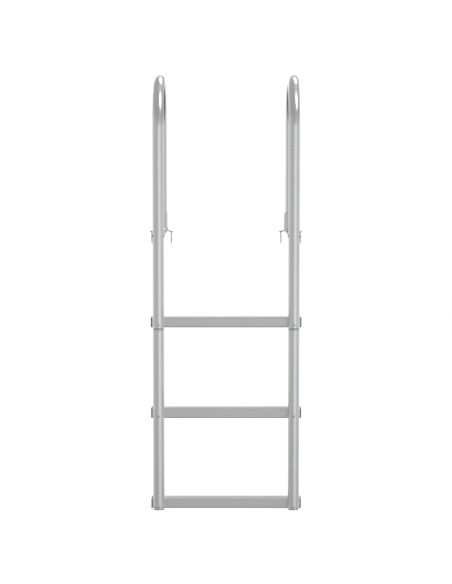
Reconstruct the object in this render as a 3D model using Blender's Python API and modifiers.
# Boat and dock boarding ladder: two hooked tubular handrails that stand in deck
# sockets, two-piece rails, three hollow ribbed treads bolted behind the rails.
#
# Frame: metres, +Z up, +X across the ladder, +Y from the climber to the dock.
# Front is -Y, left is -X.
# Origin: centre of the overall box in X and Y, at the lowest point of the feet.

import math

import bmesh
import bpy
from mathutils import Matrix, Vector

MM = 0.001
GAP = 0.3 * MM                    # clearance between pieces that touch
SIDES = (("left", -1), ("right", 1))

# ---- rails -----------------------------------------------------------------
RAIL_R = 19.0 * MM                # 38 mm tube
RAIL_WALL = 1.8 * MM
RAIL_IN = RAIL_R - RAIL_WALL
RAIL_X = 228.5 * MM               # half of the 457 mm rail spacing
REACH = 325.0 * MM                # front rail axis to rear leg axis
HOOK_R = REACH / 2
HOOK_Z = 1295.5 * MM              # centre height of the handrail bend
HOOK_STEPS = 14
STRAIGHT_Z = (780 * MM, 1100 * MM)   # extra path points on the straight front rail
SEAM_Z = 617.5 * MM               # joint between handrail tube and lower rail
SEAM_GAP = 1.6 * MM
TUBE_FACETS = 20

# ---- pieces inside the rails -----------------------------------------------
INSERT_R = RAIL_IN - GAP          # outer radius of connector and foot plug
CONNECTOR_HALF = 60.0 * MM
CONNECTOR_WALL = 2.2 * MM
CONNECTOR_SCREW_Z = 586.5 * MM
SMALL_SCREW_R = 2.5 * MM          # connector screws and socket set screws
SMALL_HOLE_R = SMALL_SCREW_R + GAP
PLUG_SET = 0.4 * MM               # foot plug's face above the end of the tube
PLUG_LONG = 8.6 * MM

# ---- treads ----------------------------------------------------------------
TREAD_PITCH = 310.0 * MM
# Name and underside height of each tread; the lowest is flush with the feet.
TREADS = {name: i * TREAD_PITCH for i, name in enumerate(("bottom", "middle", "top"))}
TREAD_H = 32.5 * MM
TREAD_D = 56.0 * MM
TREAD_WALL = 2.2 * MM
TREAD_CORNER = 3.0 * MM
TREAD_INNER_CORNER = 1.5 * MM
TREAD_HALF = 251.7 * MM           # half length of the extrusion
GROOVES = 9
GROOVE_W = 2.2 * MM
GROOVE_DEEP = 1.0 * MM
GROOVE_MARGIN = 2.0 * MM          # grooved band from each rounded corner
CAP_T = 3.3 * MM
CAP_PLUG = 10.0 * MM
CAP_OVERLAP = 1.0 * MM            # plug's root buried in the cap

# ---- tread fixings ---------------------------------------------------------
SADDLE_T = 2.5 * MM               # stand-off between tube and tread
SADDLE_HALF_W = 14 * MM
SADDLE_HALF_H = 12 * MM
SADDLE_FRONT = 12.5 * MM          # saddle's front face behind the rail axis
BOLT_R = 3.0 * MM                 # M6
BOLT_HOLE_R = BOLT_R + GAP
BOLT_UP = 13.0 * MM               # bolt axis above a tread's underside
BOLT_CHAMFER = 0.7 * MM
HEAD_R = 5.2 * MM
HEAD_H = 4.2 * MM
NUT_R = 5.77 * MM                 # across the corners, from the axis
NUT_T = 5.0 * MM
BOLT_PAST_NUT = 2.5 * MM
BOLT_LONG = 2 * RAIL_R + 2 * GAP + SADDLE_T + TREAD_WALL + NUT_T + BOLT_PAST_NUT

# ---- deck strap and cross bolt ---------------------------------------------
DECK_Z = 930.0 * MM               # deck surface
STRAP_T = 3.0 * MM
STRAP_HALF = 19.0 * MM
STRAP_CLEAR = 0.4 * MM            # hollowed shoulder to the tube
SHOULDER_IN = 0.8 * MM            # strap's edge to the end of the hollow
TONGUE_HALF = 11.0 * MM
EYE_R = 6.0 * MM
SLOT_CLEAR = 0.5 * MM
SLOT_FROM, SLOT_TO = 8 * MM, 26 * MM    # slot cutter's reach behind the rail axis
CROSS_Z = DECK_Z + STRAP_T / 2
CROSS_BOLT_LONG = 34 * MM
BARREL_R = 4.2 * MM               # barrel of the cross nut
BARREL_LONG = 7 * MM

# ---- deck socket -----------------------------------------------------------
SOCKET_BASE_Z = DECK_Z + STRAP_T + GAP
SLEEVE_TOP = 1001.5 * MM
SLEEVE_IN = RAIL_R + 0.35 * MM
SLEEVE_OUT = 20.6 * MM
FILLET_R = 21.4 * MM              # middle of the slope from sleeve to hub
HUB_R = 24.0 * MM
HUB_TOP, FILLET_Z, SLEEVE_FOOT = 11 * MM, 14.5 * MM, 17.5 * MM   # above the deck
EAR_X = 34.5 * MM                 # deck screw from the leg axis
EAR_R = 7.0 * MM
EAR_T = 2.2 * MM
WING_INSET = 0.3 * MM             # wing narrower than the ear's round foot, each side
WING_SKIN = 0.2 * MM              # wing's tip inside the foot's faces
SPOT_FACE_R = 5.3 * MM
SPOT_FACE_LONG = 8 * MM
SPOT_FACE_DEEP = 0.1 * MM
RIB_HALF = 6.0 * MM
SET_Z = 983.5 * MM
SET_OUT = 23.3 * MM               # set screw's datum from the leg axis
SET_HOLE_X = 21 * MM              # middle of its cutter from the leg axis
DECK_SCREW_R = 2.4 * MM
DECK_SCREW_TIP = 887.5 * MM
DECK_SCREW_POINT = 6 * MM         # length of the tapered point
DECK_SCREW_CLEAR = 0.4 * MM

# The overall box is centred in Y: bolt heads in front, socket hub behind.
FRONT_OVER = RAIL_R + GAP + HEAD_H
RAIL_Y = -(REACH + HUB_R - FRONT_OVER) / 2
LEG_Y = RAIL_Y + REACH
TREAD_Y = RAIL_Y + RAIL_R + SADDLE_T    # front face of the treads


# ---- measured outlines, in mm ----------------------------------------------
def in_mm(*points):
    return [(a * MM, b * MM) for a, b in points]


# Screw and nut profiles: (radius, height above the seat).
TREAD_HEAD_CROWN = [(0, HEAD_H), (2.4 * MM, HEAD_H - 0.35 * MM),
                    (4.2 * MM, HEAD_H - 1.6 * MM), (HEAD_R, 1.0 * MM), (HEAD_R, 0)]
CROSS_HEAD_CROWN = [(0, HEAD_H), (2.4 * MM, HEAD_H - 0.3 * MM),
                    (4.2 * MM, HEAD_H - 1.4 * MM), (5.0 * MM, 1.0 * MM), (5.0 * MM, 0)]
CROSS_NUT_CROWN = in_mm((0, 1.7), (4.6, 1.5), (5.5, 0.6), (5.5, 0))
CONNECTOR_SCREW_CROWN = in_mm((0, 2.4), (2.2, 2.1), (4.3, 0.9), (4.5, 0))
DECK_SCREW_CROWN = in_mm((0, 2.9), (2.3, 2.6), (4.2, 1.5), (4.9, 0))
SET_SCREW = in_mm((0, -2.0), (1.2, -2.0), (1.2, 0), (2.0, 0),
                  (2.5, -0.5), (2.5, -3.4), (1.8, -3.9), (0, -3.9))

# Sloping ear of the socket: (distance from the leg axis, height above the deck).
WING = (in_mm((20.3, 9.9), (31.6, 3.3))
        + [(EAR_X, EAR_T - WING_SKIN), (EAR_X, WING_SKIN)]
        + in_mm((30.6, 0.2), (20.3, 6.4)))

# Rib on the -X side of the sleeve: (x from the leg axis, height above the deck).
RIB = in_mm((-19.9, 12.5), (-19.9, 71.2), (-20.7, 71.2), (-22.6, 61), (-22.6, 12.5))

# ---- scene -----------------------------------------------------------------
for ob in list(bpy.data.objects):
    bpy.data.objects.remove(ob, do_unlink=True)
for mesh in list(bpy.data.meshes):
    bpy.data.meshes.remove(mesh)

PARTS = bpy.data.collections.new("boarding_ladder")
CUTTERS = bpy.data.collections.new("cutters")
bpy.context.scene.collection.children.link(PARTS)
bpy.context.scene.collection.children.link(CUTTERS)

# ---- materials -------------------------------------------------------------
# kind: (name ending, base colour, roughness, metallic)
FINISH = {
    "rail": ("satin_aluminium_tube", (0.66, 0.66, 0.67), 0.32, 1.0),
    "tread": ("extruded_aluminium", (0.60, 0.60, 0.61), 0.42, 1.0),
    "casting": ("cast_aluminium", (0.58, 0.58, 0.59), 0.45, 1.0),
    "strap": ("aluminium_strap", (0.62, 0.62, 0.63), 0.38, 1.0),
    "steel": ("stainless_steel", (0.62, 0.61, 0.60), 0.28, 1.0),
    "dark_plastic": ("dark_grey_plastic", (0.07, 0.07, 0.075), 0.55, 0.0),
    "grey_plastic": ("light_grey_plastic", (0.55, 0.55, 0.56), 0.5, 0.0),
    "connector": ("connector_aluminium", (0.40, 0.40, 0.41), 0.5, 1.0),
}


def apply_finish(ob, kind):
    """Each piece has a material of its own, named after it."""
    ending, colour, roughness, metallic = FINISH[kind]
    mat = bpy.data.materials.new(ob.name + "_" + ending)
    mat.use_nodes = True
    bsdf = mat.node_tree.nodes["Principled BSDF"]
    bsdf.inputs["Base Color"].default_value = (*colour, 1.0)
    bsdf.inputs["Roughness"].default_value = roughness
    bsdf.inputs["Metallic"].default_value = metallic
    mat.diffuse_color = (*colour, 1.0)
    ob.data.materials.clear()
    ob.data.materials.append(mat)


# ---- modelling helpers -----------------------------------------------------
QUARTER = math.radians(90)
ALONG_Y = (-QUARTER, 0.0, 0.0)        # local Z to +Y
AGAINST_Y = (QUARTER, 0.0, 0.0)       # local X,Y,Z to X,Z,-Y
SECTION = (QUARTER, 0.0, QUARTER)     # local X,Y,Z to Y,Z,X


def along_x(sign=1):
    """Rotation that takes local Z to +X or -X."""
    return (0.0, sign * QUARTER, 0.0)


def add(name, mesh, kind=None, loc=(0, 0, 0), rot=(0, 0, 0)):
    """Place a piece of the given finish or, with no kind, a hidden boolean helper."""
    ob = bpy.data.objects.new(name, mesh)
    ob.location = loc
    ob.rotation_euler = rot
    if kind:
        PARTS.objects.link(ob)
        apply_finish(ob, kind)
    else:
        CUTTERS.objects.link(ob)
        ob.hide_render = True
        ob.display_type = "WIRE"
    return ob


def smooth(ob):
    ob.data.shade_smooth()
    ob.data.set_sharp_from_angle(angle=math.radians(35))


def to_mesh(bm, name):
    mesh = bpy.data.meshes.new(name)
    bm.to_mesh(mesh)
    bm.free()
    return mesh


def box_mesh(name, low, high):
    low, high = Vector(low), Vector(high)
    bm = bmesh.new()
    bmesh.ops.create_cube(bm, size=1.0)
    for v in bm.verts:
        v.co = (low + high) / 2 + v.co * (high - low)
    return to_mesh(bm, name)


def box_mesh_between(name, low, high):
    """A box between two opposite corners."""
    bm = bmesh.new()
    bmesh.ops.create_cube(bm, size=1.0)
    for v in bm.verts:
        v.co = [(a + b) / 2 + c * (b - a) for a, b, c in zip(low, high, v.co)]
    return to_mesh(bm, name)


def rod_mesh(name, radius, length, segments, turn=0.0):
    """A cylinder along local Z, centred on its own origin, turned by some degrees."""
    bm = bmesh.new()
    bmesh.ops.create_cone(bm, cap_ends=True, segments=segments,
                          radius1=radius, radius2=radius, depth=length)
    bmesh.ops.rotate(bm, verts=bm.verts, matrix=Matrix.Rotation(math.radians(turn), 3, "Z"))
    return to_mesh(bm, name)


def turned(name, profile, kind, loc, rot=(0, 0, 0), steps=12, closed=False):
    """A turned piece: the profile (radius, height) runs down its outer side."""
    bm = bmesh.new()
    verts = [bm.verts.new((r, 0.0, z)) for r, z in profile]
    for a, b in zip(verts, verts[1:]):
        bm.edges.new((a, b))
    if closed:
        bm.edges.new((verts[-1], verts[0]))
    ob = add(name, to_mesh(bm, name), kind, loc, rot)
    mod = ob.modifiers.new("Screw", "SCREW")
    mod.axis = "Z"
    mod.steps = steps
    mod.render_steps = steps
    mod.use_merge_vertices = True
    mod.merge_threshold = 0.00001
    mod.use_smooth_shade = True
    return ob


def add_spline(curve, points):
    spline = curve.splines.new("POLY")
    spline.points.add(len(points) - 1)
    for point, co in zip(spline.points, points):
        point.co = (*co, 1.0)
    return spline


def curve_mesh(name, curve):
    """The evaluated curve as a welded mesh."""
    holder = bpy.data.objects.new(name + "_curve", curve)
    CUTTERS.objects.link(holder)
    deps = bpy.context.evaluated_depsgraph_get()
    mesh = bpy.data.meshes.new_from_object(holder.evaluated_get(deps))
    mesh.name = name
    bm = bmesh.new()
    bm.from_mesh(mesh)
    bmesh.ops.remove_doubles(bm, verts=bm.verts, dist=0.00001)
    bm.to_mesh(mesh)
    bm.free()
    bpy.data.objects.remove(holder, do_unlink=True)
    return mesh


def outline(name, loops, half, loc, rot=(0, 0, 0), kind=None):
    """A flat outline (with holes) of local X, Y points, extruded by +-half in Z."""
    curve = bpy.data.curves.new(name, "CURVE")
    curve.dimensions = "2D"
    curve.fill_mode = "BOTH"
    curve.extrude = half
    for points in loops:
        add_spline(curve, [(x, y, 0.0) for x, y in points]).use_cyclic_u = True
    return add(name, curve_mesh(name, curve), kind, loc, rot)


def boolean(ob, helper, prefix, operation):
    mod = ob.modifiers.new(prefix + helper.name, "BOOLEAN")
    mod.operation = operation
    mod.solver = "EXACT"
    mod.object = helper


def cut(ob, helper):
    boolean(ob, helper, "cut_", "DIFFERENCE")


def join(ob, helper):
    boolean(ob, helper, "join_", "UNION")


def hole(ob, name, radius, length, loc, rot=(0, 0, 0), segments=12):
    """Cut with a rod; its small turn keeps its facets off those of the piece."""
    cut(ob, add(name, rod_mesh(name, radius, length, segments, turn=6.5), None, loc, rot))


def arc(cx, cy, r, a0, a1, n):
    """Points on a circle from angle a0 to a1 in degrees."""
    angles = [math.radians(a0 + (a1 - a0) * i / n) for i in range(n + 1)]
    return [(cx + r * math.cos(a), cy + r * math.sin(a)) for a in angles]


def rounded_rect(x0, y0, x1, y1, r, n=3):
    return (arc(x1 - r, y0 + r, r, -90, 0, n) + arc(x1 - r, y1 - r, r, 0, 90, n)
            + arc(x0 + r, y1 - r, r, 90, 180, n) + arc(x0 + r, y0 + r, r, 180, 270, n))


# ---- treads ----------------------------------------------------------------
def tread_outer():
    """Section of the tread: rounded box, its top face grooved along the tread."""
    r = TREAD_CORNER
    back = TREAD_D - r
    top = TREAD_H - r
    points = arc(back, r, r, -90, 0, 3) + arc(back, top, r, 0, 90, 3)
    pitch = (TREAD_D - 2 * r - 2 * GROOVE_MARGIN) / GROOVES
    half = GROOVE_W / 2
    for i in range(GROOVES):
        mid = back - GROOVE_MARGIN - pitch * (i + 0.5)
        points += [(mid + half, TREAD_H), (mid + half / 2, TREAD_H - GROOVE_DEEP),
                   (mid - half / 2, TREAD_H - GROOVE_DEEP), (mid - half, TREAD_H)]
    return points + arc(r, top, r, 90, 180, 3) + arc(r, r, r, 180, 270, 3)


def tread_inner(inset=0):
    """The tread's hollow, or a plug that fits it with the given clearance."""
    wall = TREAD_WALL + inset
    return rounded_rect(wall, wall, TREAD_D - wall, TREAD_H - wall - GROOVE_DEEP,
                        TREAD_INNER_CORNER - inset, 2)


def build_tread(name, z):
    tread = outline("tread_" + name, [tread_outer(), tread_inner()],
                    TREAD_HALF, (0, TREAD_Y, z), SECTION, "tread")
    smooth(tread)
    for side, sign in SIDES:
        hole(tread, f"drill_tread_{name}_{side}", BOLT_HOLE_R, 12 * MM,
             (sign * RAIL_X, TREAD_Y, z + BOLT_UP), ALONG_Y)


def build_end_cap(label, sign, z):
    """Cap on the tread's end, with a plug that enters the hollow."""
    root = TREAD_HALF + GAP
    cap = outline("tread_end_cap_" + label,
                  [rounded_rect(0, 0, TREAD_D, TREAD_H, TREAD_CORNER)],
                  CAP_T / 2, (sign * (root + CAP_T / 2), TREAD_Y, z), SECTION,
                  "dark_plastic")
    plug_x = sign * (root + (CAP_OVERLAP - CAP_PLUG) / 2)
    join(cap, outline("cap_plug_" + label, [tread_inner(GAP)],
                      (CAP_PLUG + CAP_OVERLAP) / 2, (plug_x, TREAD_Y, z), SECTION))


def build_tread_fixing(label, x, z):
    """Bolt from the front, saddle between rail and tread, nut inside the tread."""
    turned("tread_bolt_" + label,
           TREAD_HEAD_CROWN + [(BOLT_R, 0), (BOLT_R, -BOLT_LONG + 0.8 * MM),
                               (BOLT_R - BOLT_CHAMFER, -BOLT_LONG), (0, -BOLT_LONG)],
           "steel", (x, RAIL_Y - RAIL_R - GAP, z), AGAINST_Y)

    axis = (x, RAIL_Y, z)
    saddle = add("tread_saddle_" + label,
                 box_mesh("saddle", (-SADDLE_HALF_W, SADDLE_FRONT, -SADDLE_HALF_H),
                          (SADDLE_HALF_W, RAIL_R + SADDLE_T - GAP, SADDLE_HALF_H)),
                 "dark_plastic", axis)
    hole(saddle, "bed_saddle_" + label, RAIL_R + GAP, 40 * MM, axis, segments=32)
    hole(saddle, "drill_saddle_" + label, BOLT_HOLE_R, 80 * MM, axis, ALONG_Y)

    centre = (x, TREAD_Y + TREAD_WALL + GAP + NUT_T / 2, z)
    nut = add("tread_nut_" + label, rod_mesh("nut", NUT_R, NUT_T, 6), "steel",
              centre, ALONG_Y)
    hole(nut, "thread_" + label, BOLT_HOLE_R, 12 * MM, centre, ALONG_Y)


# ---- rails -----------------------------------------------------------------
def handrail_path(x):
    """Up the front rail, over the bend and down the rear leg."""
    front = [(RAIL_Y, z) for z in (SEAM_Z + SEAM_GAP / 2, *STRAIGHT_Z)]
    bend = arc(RAIL_Y + HOOK_R, HOOK_Z, HOOK_R, 180, 0, HOOK_STEPS)
    return [(x, y, z) for y, z in front + bend + [(LEG_Y, SOCKET_BASE_Z)]]


def build_handrail(side, sign, x):
    """One bent tube from the seam to the deck socket."""
    name = "handrail_" + side
    curve = bpy.data.curves.new(name, "CURVE")
    curve.dimensions = "3D"
    curve.bevel_depth = RAIL_R
    curve.bevel_resolution = TUBE_FACETS // 2 - 2
    curve.use_fill_caps = False
    add_spline(curve, handrail_path(x))
    rail = add(name, curve_mesh(name, curve), "rail")
    shell = rail.modifiers.new("Wall", "SOLIDIFY")
    shell.thickness = RAIL_WALL
    shell.offset = -1.0
    shell.use_even_offset = True
    smooth(rail)
    hole(rail, "drill_rail_tread_" + side, BOLT_HOLE_R, 60 * MM,
         (x, RAIL_Y, TREADS["top"] + BOLT_UP), ALONG_Y)
    hole(rail, "drill_rail_cross_out_" + side, BOLT_HOLE_R, 20 * MM,
         (x + sign * RAIL_R, RAIL_Y, CROSS_Z), along_x())
    hole(rail, "drill_rail_cross_in_" + side, BARREL_R + GAP, 20 * MM,
         (x - sign * RAIL_R, RAIL_Y, CROSS_Z), along_x())
    half_w = TONGUE_HALF + SLOT_CLEAR
    half_h = EYE_R + SLOT_CLEAR
    slot = box_mesh("slot_" + side, (-half_w, SLOT_FROM, -half_h), (half_w, SLOT_TO, half_h))
    cut(rail, add("slot_" + side, slot, None, (x, RAIL_Y, CROSS_Z)))


def build_lower_rail(side, x):
    """Straight tube from the foot to the seam."""
    top = SEAM_Z - SEAM_GAP / 2
    lower = turned("lower_rail_" + side,
                   [(RAIL_IN, top), (RAIL_R, top), (RAIL_R, 0), (RAIL_IN, 0)],
                   "rail", (x, RAIL_Y, 0), steps=TUBE_FACETS, closed=True)
    for name in ("bottom", "middle"):
        hole(lower, f"drill_lower_{name}_{side}", BOLT_HOLE_R, 60 * MM,
             (x, RAIL_Y, TREADS[name] + BOLT_UP), ALONG_Y)
    hole(lower, "drill_lower_connector_" + side, SMALL_HOLE_R, 20 * MM,
         (x, RAIL_Y + RAIL_R, CONNECTOR_SCREW_Z), ALONG_Y)


def build_connector(side, x):
    """Sleeve inside the seam, held by the top tread's bolt and its own screw."""
    outer = INSERT_R
    inner = outer - CONNECTOR_WALL
    top, low = SEAM_Z + CONNECTOR_HALF, SEAM_Z - CONNECTOR_HALF
    connector = turned("rail_connector_" + side,
                       [(inner, top), (outer - 1 * MM, top), (outer, top - 1.5 * MM),
                        (outer, low + 1.5 * MM), (outer - 1 * MM, low), (inner, low)],
                       "connector", (x, RAIL_Y, 0), steps=TUBE_FACETS, closed=True)
    hole(connector, "drill_connector_bolt_" + side, BOLT_HOLE_R, 60 * MM,
         (x, RAIL_Y, TREADS["top"] + BOLT_UP), ALONG_Y)
    hole(connector, "drill_connector_screw_" + side, SMALL_HOLE_R, 20 * MM,
         (x, RAIL_Y + RAIL_R, CONNECTOR_SCREW_Z), ALONG_Y)
    turned("connector_screw_" + side,
           CONNECTOR_SCREW_CROWN + [(SMALL_SCREW_R, 0), (SMALL_SCREW_R, -7 * MM)]
           + in_mm((0.4, -9.5), (0, -9.5)),
           "steel", (x, RAIL_Y + RAIL_R + GAP, CONNECTOR_SCREW_Z), ALONG_Y)


def build_foot_plug(side, x):
    """Plug pressed into the open foot of the rail."""
    r, low, top = INSERT_R, PLUG_SET, PLUG_SET + PLUG_LONG
    turned("rail_foot_plug_" + side,
           [(0, top), (r - 1 * MM, top), (r, top - 1 * MM), (r, low + 0.9 * MM),
            (r - 0.3 * MM, low + 0.25 * MM), (r - 1 * MM, low), (0, low)],
           "grey_plastic", (x, RAIL_Y, 0), steps=TUBE_FACETS)


# ---- deck strap ------------------------------------------------------------
def strap_outline():
    """Plan of the deck strap: tongue into the rail, hollowed shoulder, round end."""
    r = RAIL_R + STRAP_CLEAR
    tongue_angle = math.degrees(math.acos(TONGUE_HALF / r))
    edge_angle = math.degrees(math.acos((STRAP_HALF - SHOULDER_IN) / r))
    right = [(TONGUE_HALF, 0.0)] + arc(0, 0, r, tongue_angle, edge_angle, 4)
    right.append((STRAP_HALF, right[-1][1]))
    left = [(-x, y) for x, y in reversed(right)]
    return right + arc(0, REACH, STRAP_HALF, 0, 180, 12) + left


def build_deck_strap(side, sign, x):
    """Strap on the deck, with its eye held inside the front rail by the cross bolt."""
    axis = (x, RAIL_Y, CROSS_Z)
    strap = outline("deck_arm_" + side, [strap_outline()], STRAP_T / 2, axis, kind="strap")
    join(strap, add("eye_" + side, rod_mesh("eye", EYE_R, 2 * TONGUE_HALF, 20), None,
                    axis, along_x()))
    hole(strap, "drill_eye_" + side, BOLT_HOLE_R, 60 * MM, axis, along_x())

    seat = sign * (RAIL_R + GAP)
    turned("cross_bolt_" + side,
           CROSS_HEAD_CROWN + [(BOLT_R, 0), (BOLT_R, -CROSS_BOLT_LONG + 1 * MM),
                               (BOLT_R - BOLT_CHAMFER, -CROSS_BOLT_LONG),
                               (0, -CROSS_BOLT_LONG)],
           "steel", (x + seat, RAIL_Y, CROSS_Z), along_x(sign))
    turned("cross_nut_" + side,
           CROSS_NUT_CROWN + [(BARREL_R, 0), (BARREL_R, -BARREL_LONG),
                              (BOLT_HOLE_R, -BARREL_LONG), (BOLT_HOLE_R, -0.8 * MM),
                              (0, -0.8 * MM)],
           "steel", (x - seat, RAIL_Y, CROSS_Z), along_x(-sign))


# ---- deck socket -----------------------------------------------------------
def build_deck_screw(label, x):
    seat = DECK_Z + EAR_T + GAP
    tip = DECK_SCREW_TIP - seat
    turned("deck_screw_" + label,
           DECK_SCREW_CROWN + [(DECK_SCREW_R, 0), (DECK_SCREW_R, tip + DECK_SCREW_POINT),
                               (0.3 * MM, tip), (0, tip)],
           "steel", (x, LEG_Y, seat))


def build_deck_socket(side, sign, x):
    """Flanged sleeve, two sloping ears with deck screws, a rib for the set screw."""
    socket = turned("deck_socket_" + side,
                    [(SLEEVE_IN, SLEEVE_TOP), (SLEEVE_OUT, SLEEVE_TOP),
                     (SLEEVE_OUT, DECK_Z + SLEEVE_FOOT), (FILLET_R, DECK_Z + FILLET_Z),
                     (HUB_R, DECK_Z + HUB_TOP), (HUB_R, SOCKET_BASE_Z),
                     (SLEEVE_IN, SOCKET_BASE_Z)],
                    "casting", (x, LEG_Y, 0), steps=TUBE_FACETS, closed=True)
    deck = (x, LEG_Y, DECK_Z)
    ears = ((f"inboard_{side}", -sign), (f"outboard_{side}", sign))
    for label, way in ears:
        join(socket, outline("wing_" + label, [[(way * a, z) for a, z in WING]],
                             EAR_R - WING_INSET, deck, AGAINST_Y))
        join(socket, add("foot_" + label, rod_mesh("foot", EAR_R, EAR_T, 16), None,
                         (x + way * EAR_X, LEG_Y, DECK_Z + EAR_T / 2)))
    join(socket, outline("rib_" + side, [RIB], RIB_HALF, deck, AGAINST_Y))
    for label, way in ears:
        ear_x = x + way * EAR_X
        hole(socket, "spot_face_" + label, SPOT_FACE_R, SPOT_FACE_LONG,
             (ear_x, LEG_Y, DECK_Z + EAR_T - SPOT_FACE_DEEP + SPOT_FACE_LONG / 2))
        hole(socket, "drill_ear_" + label, DECK_SCREW_R + DECK_SCREW_CLEAR, 20 * MM,
             (ear_x, LEG_Y, DECK_Z))
        build_deck_screw(label, ear_x)
    hole(socket, "drill_set_" + side, SMALL_HOLE_R, 12 * MM,
         (x - SET_HOLE_X, LEG_Y, SET_Z), along_x())
    turned("set_screw_" + side, SET_SCREW, "steel", (x - SET_OUT, LEG_Y, SET_Z),
           along_x(-1), steps=10)


# ---- assembly --------------------------------------------------------------
# The one box helper in use: corner to corner, component by component.
box_mesh = box_mesh_between

for name, z in TREADS.items():
    build_tread(name, z)

for side, sign in SIDES:
    x = sign * RAIL_X
    build_handrail(side, sign, x)
    build_lower_rail(side, x)
    build_connector(side, x)
    build_foot_plug(side, x)
    for name, z in TREADS.items():
        build_tread_fixing(f"{name}_{side}", x, z + BOLT_UP)
        build_end_cap(f"{name}_{side}", sign, z)
    build_deck_strap(side, sign, x)
    build_deck_socket(side, sign, x)
